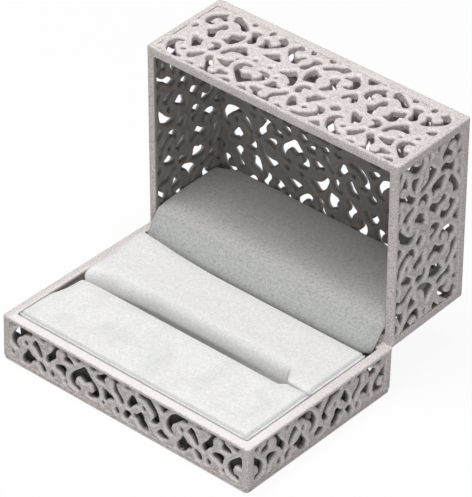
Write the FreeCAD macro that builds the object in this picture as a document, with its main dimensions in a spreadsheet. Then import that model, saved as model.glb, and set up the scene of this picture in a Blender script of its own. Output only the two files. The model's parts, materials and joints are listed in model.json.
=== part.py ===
"""Flocked openwork ring box with a deep hinged lid, standing open.

Frame: millimetres, +Z up, origin at the centre of the base's underside, front wall towards -Y.
Base parts are drawn where they lie. Lid parts are drawn about the hinge axis as they lie when the
box is shut, and turned back by the open angle. The flap and the liner are drawn about the crease.
"""

import FreeCAD, Part

import math
import os
import re

from FreeCAD import Placement, Rotation, Vector

X_AXIS = Vector(1, 0, 0)
Y_AXIS = Vector(0, 1, 0)
Z_AXIS = Vector(0, 0, 1)
TOUCH = 0.01  # places closer than this count as one

DIMENSIONS = {
    # shell
    "box_width": 85.0,
    "box_depth": 57.8,
    "base_height": 14.2,
    "lid_height": 29.5,
    "wall": 2.5,
    "floor_thickness": 0.8,
    "open_angle": 88.0,
    "parting_gap": 0.1,
    "corner_round": 1.2,
    "lid_top_round": 1.0,
    "rim_round": 0.4,
    # borders that frame the filigree
    "rim_border": 1.1,
    "foot_border": 1.2,
    "post_border": 2.5,
    "lid_top_border": 2.6,
    # one half of the mirrored scroll pattern
    "scroll_pitch": 27.2,
    "scroll_axis": 13.3,
    "hinge_land_width": 44.0,
    "hinge_land_height": 11.0,
    # hinge
    "hinge_length": 40.0,
    "knuckle_radius": 1.0,
    "pin_radius": 0.5,
    "pin_clearance": 0.05,
    "knuckle_gap": 0.2,
    "centre_knuckle": 14.0,
    "barrel_clearance": 0.15,
    "leaf_thickness": 0.5,
    "leaf_height": 8.0,
    "leaf_skin": 0.1,
    "tab_height": 3.2,
    "rivet_radius": 0.7,
    "rivet_head_radius": 1.2,
    "rivet_head": 0.35,
    "rivet_spread": 15.0,
    "rivet_drop": 5.4,
    "spring_width": 11.0,
    "spring_thickness": 0.4,
    "spring_gap": 0.1,
    # ring pads
    "pad_side_gap": 1.0,
    "card_thickness": 1.0,
    "pad_crown": 0.2,
    "velvet": 0.6,
    "front_pad_depth": 22.9,
    "slot_width": 5.1,
    "slot_flare": 2.0,
    "slot_depth": 7.4,
    "left_gusset": 1.5,
    "right_gusset": 8.0,
    "rear_pad_foot": 18.0,
    "rear_pad_lean": 1.4,
    "lean_height": 6.0,
    "pad_round": 1.6,
    # liner and flap
    "crease_standoff": 5.5,
    "crease_drop": 0.6,
    "liner_rear_standoff": 7.4,
    "liner_end_gap": 0.3,
    "liner_side_gap": 1.0,
    "liner_card": 0.6,
    "liner_velvet": 0.4,
    "crease_setback": 0.45,
    "flap_length": 7.3,
    "flap_side_gap": 1.4,
    "flap_bend": 45.0,
    "flange_thickness": 0.6,
}

# ---------------------------------------------------------------- scroll pattern
# Openings of one half pattern, drawn 27.2 wide. u runs from the axis of the big C scrolls to the
# axis of the hearts. v runs up from the foot of the base wall in FRIEZE and up from the rim of the
# lid in LID_SCROLLS. The frieze stands on its head in the lid, so the two meet at the parting line.
DRAWN_PITCH = 27.2
DRAWN_BASE = 14.2
DRAWN_LID = 29.5

# openings that both the base wall and the rim half of the lid wall have
FRIEZE_SHARED = [
    # long crescent round the C scroll's bulb
    [(8.7, 11.8), (8, 12.3), (6, 12.4), (3.6, 11.7), (2, 9.8), (1.2, 7.5), (1.8, 6), (3.8, 5.4),
     (5, 5.9), (3.6, 6.2), (2.9, 7.1), (3.3, 8.6), (4.9, 10), (6.2, 11.2), (7.8, 11.4)],
    # eye between the two leaves
    [(5.9, 8.5), (6.5, 9.1), (7.1, 8.5), (6.5, 7.9)],
    # horn under the arch
    [(10, 10.8), (10.9, 10), (11.8, 8.2), (12.05, 6.4), (11.6, 6.1), (10.7, 6.9), (9.8, 8),
     (8.9, 8.6), (8.2, 8.6), (9.1, 9.7)],
    # corner above the arch
    [(10.7, 13), (13.4, 13.1), (12.9, 11.8), (13.1, 10.1), (12.7, 10.9), (11.8, 12.2)],
    # hook round the small bulb
    [(14, 5.75), (13.8, 7.8), (14.9, 8.9), (15.8, 10.4), (16.3, 11.5), (15.4, 12.4), (15.4, 13.1),
     (18.1, 13.2), (20.1, 13.1), (20.5, 12.2), (21.4, 11.3), (23, 10.5), (23.1, 9.8), (21.8, 9.6),
     (19.6, 9.3), (18.9, 9.45), (19.8, 9.9), (20.3, 10.6), (20, 11.6), (19.2, 12.3), (18.1, 12.3),
     (17.2, 11.5), (16.9, 10.4), (17, 9.1), (16.7, 8.4), (15.6, 7.5), (14.6, 6.1)],
    # triangle over the hearts' shoulder
    [(22.9, 13.1), (25.7, 13.1), (25.2, 11.8), (24.4, 11.5), (23.4, 12.2)],
    # leaf-shaped gap beside the heart
    [(21.1, 7.8), (19.8, 7.6), (17.95, 7), (16.3, 5.9), (17.6, 5.7), (18.9, 5.2), (19.95, 3.7),
     (20.8, 2.4), (21, 2.7), (20.4, 4), (20.4, 5.7), (20.8, 7.1)],
]
FRIEZE_SHARED_ON_C_AXIS = [
    [(0, 13.1), (2.2, 13), (1.1, 11.8), (0, 10.7)],
]
FRIEZE_SHARED_ON_HEART_AXIS = [
    # heart with two bulbs in it
    [(27.2, 10.9), (25.4, 9.3), (23.6, 7.7), (22.3, 6), (22.1, 4.8), (22.85, 3.3), (24.3, 2.8),
     (25.9, 3.3), (25.7, 3.8), (24.6, 3.7), (23.9, 4.6), (24, 5.8), (25.2, 7.1), (26.3, 6.6),
     (27.2, 6)],
]

# openings of the base wall alone
FRIEZE_FOOT = [
    # arch over the half rosette
    [(7, 6.7), (7.8, 6.2), (8.7, 5.2), (10.2, 4.7), (9.9, 4.3), (8.7, 3.9), (8, 2.6), (5.1, 2.1),
     (5, 3), (5.4, 4), (6.3, 5.1)],
    # gap right of the half rosette
    [(10.9, 4.5), (12.5, 4.5), (13.4, 3.3), (13.3, 2.4), (12.1, 2.3), (11.6, 3.5)],
    # oval
    [(15.1, 3.1), (15.75, 3.95), (16.4, 3.1), (15.75, 2.25)],
]
FRIEZE_FOOT_ON_C_AXIS = [
    [(0, 4.95), (1.45, 3.7), (3.2, 3.2), (1.1, 2.8), (0, 2.4)],
]

# openings of the lid wall's upper half
LID_SCROLLS = [
    # crescent round the upper C scroll's bulb
    [(5.4, 26.1), (3.1, 24.3), (1.9, 22.6), (1.7, 20.6), (2.6, 19.3), (4.1, 19.1), (5.3, 20.1),
     (5.8, 21.5), (4.2, 20), (3.3, 21), (3.6, 22.4), (5.1, 22.95), (7.1, 22.5), (6.6, 23.3),
     (5.5, 24), (5.2, 25.2)],
    # long gap under the big arch
    [(7.5, 26.3), (10.2, 25.9), (12.2, 24.7), (13.95, 22.5), (13.2, 22.1), (11.6, 23.3),
     (9.4, 24.1), (8.4, 24), (7.9, 25.1)],
    # double gap left of the middle bulb
    [(7.8, 21.7), (8.8, 20.9), (9.2, 19.5), (8.1, 18.6), (7.8, 17.4), (8.6, 15.6), (8.8, 14.6),
     (7.5, 14.5), (6.5, 15.8), (5.3, 17), (6.4, 18.2), (7.2, 20.4)],
    # gap right of the middle bulb
    [(15.2, 20.8), (15.7, 19.2), (15.4, 17), (14.2, 14.9), (12.8, 15.4), (11.1, 15.6), (12, 16.7),
     (12.3, 18.1), (11.9, 19.2), (13.9, 20)],
    # gap between the arch and the upper leaf
    [(15.2, 24.2), (16.6, 24.3), (18.1, 24.2), (17.8, 22.6), (18.8, 20.5), (19, 19.2), (18, 18.6),
     (17.3, 19), (17, 20.8), (16.2, 22.6)],
    # slit beside the upper leaf
    [(20, 26.8), (21, 26.8), (20.5, 25.6), (19.4, 24.3), (19.7, 25.4)],
    # corner above the arch
    [(12.8, 26.9), (15, 26.8), (14.3, 25.9), (13.8, 25.65), (13.2, 26.1)],
    # crescent round the heart scroll's bulb
    [(23, 25.2), (23.4, 26.1), (24.4, 26.4), (25.6, 25.7), (26.3, 24.1), (25.5, 22.2),
     (23.6, 20.3), (21.8, 19.2), (20.8, 19.4), (21.1, 21.4), (20.1, 23.5), (20.8, 23.5),
     (22.3, 21.9), (23.2, 21.8), (24.6, 23.6), (24.2, 24.8)],
    # tall triangle beside the great curve
    [(19.2, 17.2), (20.5, 15), (22.4, 13.5), (20.2, 13.7), (17.4, 12.9), (16.4, 11.5),
     (16.1, 10.3), (15.4, 10.6), (15.5, 12.6), (16.7, 15)],
    # eye in the loop above the heart
    [(24, 13.7), (24.8, 14.2), (25.5, 13.6), (24.8, 13.2)],
    # gap under the left wave
    [(3.4, 14.6), (4.6, 13.1), (6, 12.2), (7.7, 12.1), (8, 10.8), (8.8, 9.7), (7.9, 8.6),
     (7.4, 7.2), (7, 8.4), (6, 9.9), (4.6, 12.1)],
    # crescent round the curl's bulb
    [(10.2, 12.7), (11.2, 13.7), (12.7, 13.4), (13.6, 12), (13.3, 10.4), (12.1, 9.5), (11.7, 9.8),
     (12.1, 11.2), (11.3, 12.5)],
]
LID_ON_C_AXIS = [
    [(0, 27), (1.9, 26.6), (0.9, 25.4), (0, 24.4)],
    [(0, 19.2), (1.1, 18.1), (1.9, 16.8), (2, 15.4), (1.2, 14.9), (0.9, 16.1), (0, 16.9)],
    [(0, 12), (0.8, 11.4), (1.4, 10.6), (1, 10), (0, 9.2)],
]
LID_ON_HEART_AXIS = [
    [(27.2, 20.3), (26.3, 19.2), (25.3, 18.4), (24.4, 17.2), (25.4, 17), (27.2, 16.9)],
]


def both_sides(half_outline, axis):
    """Close an outline that starts and ends on a mirror axis."""
    mirrored = [(2 * axis - u, v) for u, v in reversed(half_outline) if u != axis]
    return half_outline + mirrored


def on_its_head(outlines):
    """Flip frieze openings, as they stand in the lid."""
    return [[(u, DRAWN_BASE - v) for u, v in outline] for outline in outlines]


BASE_PATTERN = {
    "half": FRIEZE_SHARED + FRIEZE_FOOT,
    "c_axis": FRIEZE_SHARED_ON_C_AXIS + FRIEZE_FOOT_ON_C_AXIS,
    "heart_axis": FRIEZE_SHARED_ON_HEART_AXIS,
    "drawn_height": DRAWN_BASE,
}
LID_PATTERN = {
    "half": on_its_head(FRIEZE_SHARED) + LID_SCROLLS,
    "c_axis": on_its_head(FRIEZE_SHARED_ON_C_AXIS) + LID_ON_C_AXIS,
    "heart_axis": on_its_head(FRIEZE_SHARED_ON_HEART_AXIS) + LID_ON_HEART_AXIS,
    "drawn_height": DRAWN_LID,
}

# ---------------------------------------------------------------- document and sizes
doc = FreeCAD.newDocument("ring_box")
sizes = doc.addObject("Spreadsheet::Sheet", "sizes")
for row, (alias, number) in enumerate(DIMENSIONS.items(), start=1):
    sizes.set(f"A{row}", alias)
    sizes.set(f"B{row}", str(number))
    sizes.setAlias(f"B{row}", alias)
doc.recompute()


class Sheet:
    """Reads the sheet's cells as attributes."""

    def __getattr__(self, alias):
        return float(sizes.get(alias))


size = Sheet()
SUB_PARTS = []


def cell_of(word):
    """A word of an expression, as the cell of that name if there is one."""
    return f"sizes.{word[0]}" if word[0] in DIMENSIONS else word[0]


def bind(item, **expressions):
    """Tie an object's properties to cells. A double underscore stands for a dot."""
    for name, text in expressions.items():
        item.setExpression(name.replace("__", "."), re.sub(r"[a-z_]+", cell_of, text))
    return item


def box(name, length, width, height, x="0", y="0", z="0"):
    """Block from its low corner."""
    block = doc.addObject("Part::Box", name)
    return bind(block, Length=length, Width=width, Height=height,
                Placement__Base__x=x, Placement__Base__y=y, Placement__Base__z=z)


def rod(name, radius, length, x="0", y="0", z="0", along=X_AXIS):
    """Round bar that starts at a point and runs along an axis."""
    bar = doc.addObject("Part::Cylinder", name)
    bar.Placement = Placement(Vector(), Rotation(Z_AXIS, along))
    return bind(bar, Radius=radius, Height=length,
                Placement__Base__x=x, Placement__Base__y=y, Placement__Base__z=z)


def cut(name, base, tool):
    """What is left of one object without another."""
    rest = doc.addObject("Part::Cut", name)
    rest.Base = base
    rest.Tool = tool
    return rest


def common(name, base, tool):
    """What two objects share."""
    shared = doc.addObject("Part::Common", name)
    shared.Base = base
    shared.Tool = tool
    return shared


def fuse(name, *items):
    """Several objects as one."""
    joined = doc.addObject("Part::MultiFuse", name)
    joined.Shapes = list(items)
    return joined


def feature(name, shape):
    """Object whose shape is worked out here from the sheet."""
    item = doc.addObject("Part::Feature", name)
    item.Shape = shape
    return item


def sub_part(label, item, placement=None):
    """Name a finished piece and, in the lid and the flap, lay it in its body's pose."""
    item.Label = label
    if placement:
        item.Placement = placement
    SUB_PARTS.append(item)
    return item


def prism(outline_yz, x_from, length, fillet=0.0, rounded=()):
    """Solid with one outline in the YZ plane, rounded along the named corners."""
    corners = [Vector(x_from, y, z) for y, z in outline_yz]
    solid = Part.Face(Part.makePolygon(corners + corners[:1])).extrude(Vector(length, 0, 0))
    if not rounded:
        return solid
    named = [Vector(x_from + length / 2, *outline_yz[index]) for index in rounded]
    edges = [edge for edge in solid.Edges
             if any(edge.CenterOfMass.distanceToPoint(corner) < TOUCH for corner in named)]
    return solid.makeFillet(fillet, edges)


# ---------------------------------------------------------------- places worked out from the sheet
HALF_DEPTH = size.box_depth / 2
HINGE_Z = size.base_height + size.parting_gap / 2
LID_POSE = Placement(Vector(0, HALF_DEPTH, HINGE_Z), Rotation(X_AXIS, -size.open_angle))
LID_RIM_Z = size.parting_gap / 2
LID_TOP_Z = LID_RIM_Z + size.lid_height
LID_CEILING_Z = LID_TOP_Z - size.wall


# ---------------------------------------------------------------- filigree walls
def scroll_face(outline, centre, direction, pitch_scale, height_scale):
    """One opening as a flat face in the XZ plane."""
    points = [Vector(centre + direction * u * pitch_scale, 0, v * height_scale) for u, v in outline]
    loop = Part.BSplineCurve()
    loop.interpolate(points, PeriodicFlag=True)
    return Part.Face(Part.Wire(loop.toShape()))


def scroll_openings(pattern, length, height, c_axis, from_z=0.0):
    """All openings of a wall that runs along X, centred, before the borders trim them."""
    pitch_scale = size.scroll_pitch / DRAWN_PITCH
    height_scale = height / pattern["drawn_height"]
    double_pitch = 2 * size.scroll_pitch
    first = math.floor((-length / 2 - c_axis) / double_pitch)
    last = math.ceil((length / 2 - c_axis) / double_pitch)
    faces = []
    for count in range(first, last + 1):
        centre = c_axis + count * double_pitch
        for direction in (-1, 1):
            for outline in pattern["half"]:
                faces.append(scroll_face(outline, centre, direction, pitch_scale, height_scale))
        for outline in pattern["c_axis"]:
            faces.append(scroll_face(both_sides(outline, 0), centre, 1, pitch_scale, height_scale))
        for outline in pattern["heart_axis"]:
            closed = both_sides(outline, DRAWN_PITCH)
            faces.append(scroll_face(closed, centre, 1, pitch_scale, height_scale))
    for face in faces:
        face.translate(Vector(0, 0, from_z))
    return faces


def flat_rectangle(low_x, high_x, low_z, high_z):
    """Face in the XZ plane."""
    corners = [Vector(low_x, 0, low_z), Vector(high_x, 0, low_z),
               Vector(high_x, 0, high_z), Vector(low_x, 0, high_z)]
    return Part.Face(Part.makePolygon(corners + corners[:1]))


def mirrored_rows(faces):
    """The same openings again, upside down below the middle line."""
    return faces + [face.mirror(Vector(), Z_AXIS) for face in faces]


def pierced_wall(name, outline, faces, window, form, placement, direction, land=None):
    """Wall of even thickness, pierced inside its borders and rounded like the whole shell."""
    openings = Part.Compound(faces).common(window)
    if land:
        openings = openings.cut(land)
    drawing = feature(name + "_drawing", outline.cut(openings).Faces[0])
    drawing.Placement = placement
    wall = doc.addObject("Part::Extrusion", name + "_slab")
    wall.Base = drawing
    wall.DirMode = "Custom"
    wall.Dir = direction
    wall.Solid = True
    bind(wall, LengthFwd="wall")
    return common(name + "_wall", wall, form)


def rounded_block(name, height, z, top_round, foot_round):
    """Outer form of a whole shell, which rounds the corners of its walls."""
    block = box(name + "_block", "box_width", "box_depth", height, "-box_width / 2", "-box_depth / 2", z)
    doc.recompute()
    low, high = block.Shape.BoundBox.ZMin, block.Shape.BoundBox.ZMax
    radii = []
    for index, edge in enumerate(block.Shape.Edges, start=1):
        level = edge.CenterOfMass.z
        if edge.BoundBox.ZLength > size.floor_thickness:
            radii.append((index, size.corner_round, size.corner_round))
        elif top_round and abs(level - high) < TOUCH:
            radii.append((index, top_round, top_round))
        elif foot_round and abs(level - low) < TOUCH:
            radii.append((index, foot_round, foot_round))
    rounded = doc.addObject("Part::Fillet", name)
    rounded.Base = block
    rounded.Edges = radii
    return rounded


BASE_FORM = rounded_block("base_form", "base_height", "0", size.rim_round, 0)
LID_FORM = rounded_block("lid_form", "lid_height", "base_height + parting_gap",
                         size.lid_top_round, size.rim_round)


def shell_walls(body, form, pattern, rim_z, shell_height, foot_z, head_z, low, high, land_high):
    """Front, back, left and right walls of the base or of the lid, as they stand when shut.

    rim_z is where the pattern starts, foot_z and head_z are the walls' own ends, low and high
    bound the openings, and the back wall stays solid up to land_high behind the hinge.
    """
    half_width, half_inside = size.box_width / 2, HALF_DEPTH - size.wall
    wide = scroll_openings(pattern, size.box_width, shell_height, size.scroll_axis, rim_z)
    deep = scroll_openings(pattern, size.box_depth, shell_height, 0.0, rim_z)
    wide_outline = flat_rectangle(-half_width, half_width, foot_z, head_z)
    deep_outline = flat_rectangle(-half_inside, half_inside, foot_z, head_z)
    wide_window = flat_rectangle(-half_width + size.post_border, half_width - size.post_border, low, high)
    deep_window = flat_rectangle(-HALF_DEPTH + size.post_border, HALF_DEPTH - size.post_border, low, high)
    half_land = size.hinge_land_width / 2
    land = flat_rectangle(-half_land, half_land, rim_z, land_high)
    along_x, along_y = Rotation(), Rotation(Z_AXIS, 90)
    front_y, back_y = Vector(0, -HALF_DEPTH, 0), Vector(0, half_inside, 0)
    left_x, right_x = Vector(-half_width, 0, 0), Vector(half_width - size.wall, 0, 0)
    return {
        "front": pierced_wall(f"{body}_front", wide_outline, wide, wide_window, form,
                              Placement(front_y, along_x), Y_AXIS),
        "back": pierced_wall(f"{body}_back", wide_outline, wide, wide_window, form,
                             Placement(back_y, along_x), Y_AXIS, land),
        "left": pierced_wall(f"{body}_left", deep_outline, deep, deep_window, form,
                             Placement(left_x, along_y), X_AXIS),
        "right": pierced_wall(f"{body}_right", deep_outline, deep, deep_window, form,
                              Placement(right_x, along_y), X_AXIS),
    }


# ---------------------------------------------------------------- hinge cut-outs and rivet places
RIVET_X = ("-rivet_spread", "rivet_spread")


def hinge_cutouts(name, barrel_z, recess_z, rivet_z):
    """What a back wall gives up for the barrel, the leaf's folded edge and the rivets."""
    barrel = rod(name + "_barrel", "knuckle_radius + barrel_clearance", "hinge_length + 2 * knuckle_gap",
                 "-hinge_length / 2 - knuckle_gap", "box_depth / 2", barrel_z)
    recess = box(name + "_recess", "hinge_length + 2 * knuckle_gap", "2 * wall", "leaf_thickness + leaf_skin",
                 "-hinge_length / 2 - knuckle_gap", "box_depth / 2 - wall", recess_z)
    holes = [rod(f"{name}_rivet_hole_{count}", "rivet_radius", "2 * wall", x, "box_depth / 2 - 1.5 * wall",
                 rivet_z, Y_AXIS) for count, x in enumerate(RIVET_X)]
    return fuse(name, barrel, recess, *holes)


def knuckle(name, start, length, z):
    """One barrel piece of a leaf, on the hinge axis."""
    return rod(name, "knuckle_radius", length, start, "box_depth / 2", z)


def rivets(name, z):
    """Two rivets through a leaf and its wall, with a head at each end."""
    pieces = []
    inner = "box_depth / 2 - wall - leaf_thickness - rivet_head"
    for count, x in enumerate(RIVET_X):
        shank = rod(f"{name}_shank_{count}", "rivet_radius", "wall + leaf_thickness + 2 * rivet_head",
                    x, inner, z, Y_AXIS)
        inside = rod(f"{name}_inside_{count}", "rivet_head_radius", "rivet_head", x, inner, z, Y_AXIS)
        outside = rod(f"{name}_outside_{count}", "rivet_head_radius", "rivet_head",
                      x, "box_depth / 2", z, Y_AXIS)
        pieces.append(fuse(f"{name}_{count}", shank, inside, outside))
    group = doc.addObject("Part::Compound", name)
    group.Links = pieces
    return group


AXIS_Z = "base_height + parting_gap / 2"
PIN_BORE = rod("pin_bore", "pin_radius + pin_clearance", "2 * hinge_length",
               "-hinge_length", "box_depth / 2", AXIS_Z)
LEAF_Y = "box_depth / 2 - wall - leaf_thickness"
FOLD_WIDTH = "wall + leaf_thickness"


def leaf_holes(name, z):
    """Rivet holes of a leaf."""
    return [rod(f"{name}_hole_{count}", "rivet_radius", "2 * leaf_thickness", x,
                "box_depth / 2 - wall - 1.5 * leaf_thickness", z, Y_AXIS) for count, x in enumerate(RIVET_X)]


# ---------------------------------------------------------------- base shell
base_walls = shell_walls("base", BASE_FORM, BASE_PATTERN, 0.0, size.base_height,
                         size.floor_thickness, size.base_height,
                         size.foot_border, size.base_height - size.rim_border, size.base_height)
base_cutouts = hinge_cutouts("base_hinge_cutouts", AXIS_Z, "base_height - leaf_thickness - leaf_skin",
                             "base_height - rivet_drop")
floor_slab = box("floor_slab", "box_width", "box_depth", "floor_thickness",
                 "-box_width / 2", "-box_depth / 2")
sub_part("base_floor", common("base_floor_form", floor_slab, BASE_FORM))
sub_part("base_front_panel", base_walls["front"])
sub_part("base_back_panel", cut("base_back_cut", base_walls["back"], base_cutouts))
sub_part("base_left_panel", base_walls["left"])
sub_part("base_right_panel", base_walls["right"])

# ---------------------------------------------------------------- lid shell
# The walls are drawn in the frame of the shut box. shut_to_hinge brings them to the hinge axis.
shut_to_hinge = Placement(Vector(0, -HALF_DEPTH, -HINGE_Z), Rotation())
OPENED = LID_POSE.multiply(shut_to_hinge)
lid_from_z = size.base_height + size.parting_gap
lid_walls = shell_walls("lid", LID_FORM, LID_PATTERN, lid_from_z, size.lid_height,
                        lid_from_z, lid_from_z + size.lid_height - size.wall,
                        lid_from_z + size.rim_border, lid_from_z + size.lid_height - size.lid_top_border,
                        lid_from_z + size.hinge_land_height)
lid_cutouts = hinge_cutouts("lid_hinge_cutouts", AXIS_Z, "base_height + parting_gap",
                            "base_height + parting_gap + rivet_drop")
sub_part("lid_front_panel", lid_walls["front"], OPENED)
sub_part("lid_back_panel", cut("lid_back_cut", lid_walls["back"], lid_cutouts), OPENED)
sub_part("lid_left_panel", lid_walls["left"], OPENED)
sub_part("lid_right_panel", lid_walls["right"], OPENED)


def lid_top():
    """Top of the lid: the lid pattern in two rows that mirror each other about the middle."""
    half_width = size.box_width / 2
    edge_x, edge_z = half_width - size.post_border, HALF_DEPTH - size.lid_top_border
    faces = mirrored_rows(scroll_openings(LID_PATTERN, size.box_width, HALF_DEPTH, size.scroll_axis))
    underside = Vector(0, 0, lid_from_z + size.lid_height - size.wall)
    return pierced_wall("lid_top", flat_rectangle(-half_width, half_width, -HALF_DEPTH, HALF_DEPTH), faces,
                        flat_rectangle(-edge_x, edge_x, -edge_z, edge_z), LID_FORM,
                        Placement(underside, Rotation(X_AXIS, -90)), Z_AXIS)


sub_part("lid_top_panel", lid_top(), OPENED)

# ---------------------------------------------------------------- hinge
# Base leaf: plate on the wall's inner face, two folded tabs over the rim and two outer knuckles.
outer_knuckle = "hinge_length / 2 - centre_knuckle / 2 - knuckle_gap"
leaf_plate = box("base_leaf_plate", "hinge_length", "leaf_thickness", "leaf_height - tab_height",
                 "-hinge_length / 2", LEAF_Y, "base_height - leaf_height")
base_leaf_pieces = [leaf_plate]
for side, start in (("left", "-hinge_length / 2"), ("right", "centre_knuckle / 2 + knuckle_gap")):
    base_leaf_pieces += [
        box(f"base_tab_{side}", outer_knuckle, "leaf_thickness", "tab_height - leaf_skin",
            start, LEAF_Y, "base_height - tab_height"),
        box(f"base_fold_{side}", outer_knuckle, FOLD_WIDTH, "leaf_thickness",
            start, LEAF_Y, "base_height - leaf_skin - leaf_thickness"),
        knuckle(f"base_knuckle_{side}", start, outer_knuckle, AXIS_Z),
    ]
base_leaf = cut("base_leaf_bored", fuse("base_leaf_solid", *base_leaf_pieces),
                fuse("base_leaf_bores", PIN_BORE, *leaf_holes("base_leaf", "base_height - rivet_drop")))
sub_part("base_hinge_leaf", base_leaf)
sub_part("base_hinge_rivets", rivets("base_rivet_group", "base_height - rivet_drop"))

# Lid leaf: the same plate on the lid's side, one tab and the middle knuckle.
rim = "base_height + parting_gap"
lid_leaf_pieces = [
    box("lid_leaf_plate", "hinge_length", "leaf_thickness", "leaf_height - tab_height",
        "-hinge_length / 2", LEAF_Y, rim + " + tab_height"),
    box("lid_tab", "centre_knuckle", "leaf_thickness", "tab_height - leaf_skin",
        "-centre_knuckle / 2", LEAF_Y, rim + " + leaf_skin"),
    box("lid_fold", "centre_knuckle", FOLD_WIDTH, "leaf_thickness",
        "-centre_knuckle / 2", LEAF_Y, rim + " + leaf_skin"),
    knuckle("lid_knuckle", "-centre_knuckle / 2", "centre_knuckle", AXIS_Z),
]
lid_leaf = cut("lid_leaf_bored", fuse("lid_leaf_solid", *lid_leaf_pieces),
               fuse("lid_leaf_bores", PIN_BORE, *leaf_holes("lid_leaf", rim + " + rivet_drop")))
sub_part("lid_hinge_leaf", lid_leaf, OPENED)
sub_part("lid_hinge_rivets", rivets("lid_rivet_group", rim + " + rivet_drop"), OPENED)

pin = rod("hinge_pin_rod", "pin_radius", "hinge_length", "-hinge_length / 2", "box_depth / 2", AXIS_Z)
sub_part("hinge_pin", pin)

# Flat spring: stands on the leaf, folds over the rim and bears on the lid's knuckle.
spring_y = "box_depth / 2 - wall - leaf_thickness - spring_thickness"
spring_upright = box("spring_upright", "spring_width", "spring_thickness", "leaf_height - leaf_skin",
                     "-spring_width / 2", spring_y, "base_height - leaf_height")
spring_reach = "wall + leaf_thickness + spring_thickness - knuckle_radius - spring_gap"
spring_fold = box("spring_fold", "spring_width", spring_reach, "spring_thickness",
                  "-spring_width / 2", spring_y, "base_height - leaf_skin - spring_thickness")
sub_part("snap_spring", fuse("spring_solid", spring_upright, spring_fold))

# ---------------------------------------------------------------- ring pads
PAD_LEFT = -size.box_width / 2 + size.wall + size.pad_side_gap
PAD_LENGTH = -2 * PAD_LEFT
CARD_TOP = size.floor_thickness + size.card_thickness
PAD_TOP = size.base_height + size.pad_crown
FRONT_PAD_Y = -HALF_DEPTH + size.wall + size.pad_side_gap
SLOT_FRONT_Y = FRONT_PAD_Y + size.front_pad_depth
SLOT_REAR_Y = SLOT_FRONT_Y + size.slot_width
SLOT_FLOOR_Z = size.base_height - size.slot_depth
REAR_PAD_Y = SLOT_REAR_Y + size.rear_pad_foot


def front_outline(inset):
    """Front pad in the YZ plane, drawn in from its skin."""
    front, rear, top = FRONT_PAD_Y + inset, SLOT_FRONT_Y - inset, PAD_TOP - inset
    return [(front, CARD_TOP), (rear, CARD_TOP), (rear, top), (front, top)]


def rear_outline(inset):
    """Rear pad: its front face opens the slot upwards, its back face leans to the flap."""
    top = PAD_TOP - inset
    lean_z = PAD_TOP - size.lean_height
    return [(SLOT_REAR_Y + inset, CARD_TOP), (REAR_PAD_Y - inset, CARD_TOP), (REAR_PAD_Y - inset, lean_z),
            (REAR_PAD_Y + size.rear_pad_lean - inset, top),
            (SLOT_REAR_Y + size.slot_flare + inset, top), (SLOT_REAR_Y + inset, SLOT_FLOOR_Z)]


def pad(name, outline, rounded):
    """Foam block and the velvet that covers its top and its four sides."""
    skin = size.velvet
    foam = prism(outline(skin), PAD_LEFT + skin, PAD_LENGTH - 2 * skin, size.pad_round - skin, rounded)
    whole = prism(outline(0), PAD_LEFT, PAD_LENGTH, size.pad_round, rounded)
    sub_part(name + "_foam", feature(name + "_foam_block", foam))
    sub_part(name + "_pad_cover", feature(name + "_velvet", whole.cut(foam)))


insert_card = box("insert_board", "box_width - 2 * wall - 2 * pad_side_gap",
                  "box_depth - 2 * wall - pad_side_gap - leaf_thickness - spring_thickness - rivet_head",
                  "card_thickness", "-box_width / 2 + wall + pad_side_gap",
                  "-box_depth / 2 + wall + pad_side_gap", "floor_thickness")
sub_part("insert_card", insert_card)
pad("front", front_outline, (2, 3))
pad("rear", rear_outline, (3, 4))

slot_floor = prism([(SLOT_FRONT_Y, SLOT_FLOOR_Z - size.velvet), (SLOT_REAR_Y, SLOT_FLOOR_Z - size.velvet),
                    (SLOT_REAR_Y, SLOT_FLOOR_Z), (SLOT_FRONT_Y, SLOT_FLOOR_Z)], PAD_LEFT, PAD_LENGTH)
slot_foot = prism([(SLOT_FRONT_Y, CARD_TOP), (SLOT_REAR_Y, CARD_TOP),
                   (SLOT_REAR_Y, SLOT_FLOOR_Z - size.velvet), (SLOT_FRONT_Y, SLOT_FLOOR_Z - size.velvet)],
                  PAD_LEFT, PAD_LENGTH)
sub_part("slot_foam", feature("slot_foam_block", slot_foot))
sub_part("slot_liner", feature("slot_velvet", slot_floor))
GUSSET_TOP = PAD_TOP - size.pad_round
flare_at_top = size.slot_flare * (GUSSET_TOP - SLOT_FLOOR_Z) / (PAD_TOP - SLOT_FLOOR_Z)
gusset_outline = [(SLOT_FRONT_Y, SLOT_FLOOR_Z), (SLOT_REAR_Y, SLOT_FLOOR_Z),
                  (SLOT_REAR_Y + flare_at_top, GUSSET_TOP), (SLOT_FRONT_Y, GUSSET_TOP)]
left_gusset = prism(gusset_outline, PAD_LEFT, size.left_gusset)
right_gusset = prism(gusset_outline, -PAD_LEFT - size.right_gusset, size.right_gusset)
sub_part("slot_gusset_left", feature("left_gusset", left_gusset))
sub_part("slot_gusset_right", feature("right_gusset", right_gusset))

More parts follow.
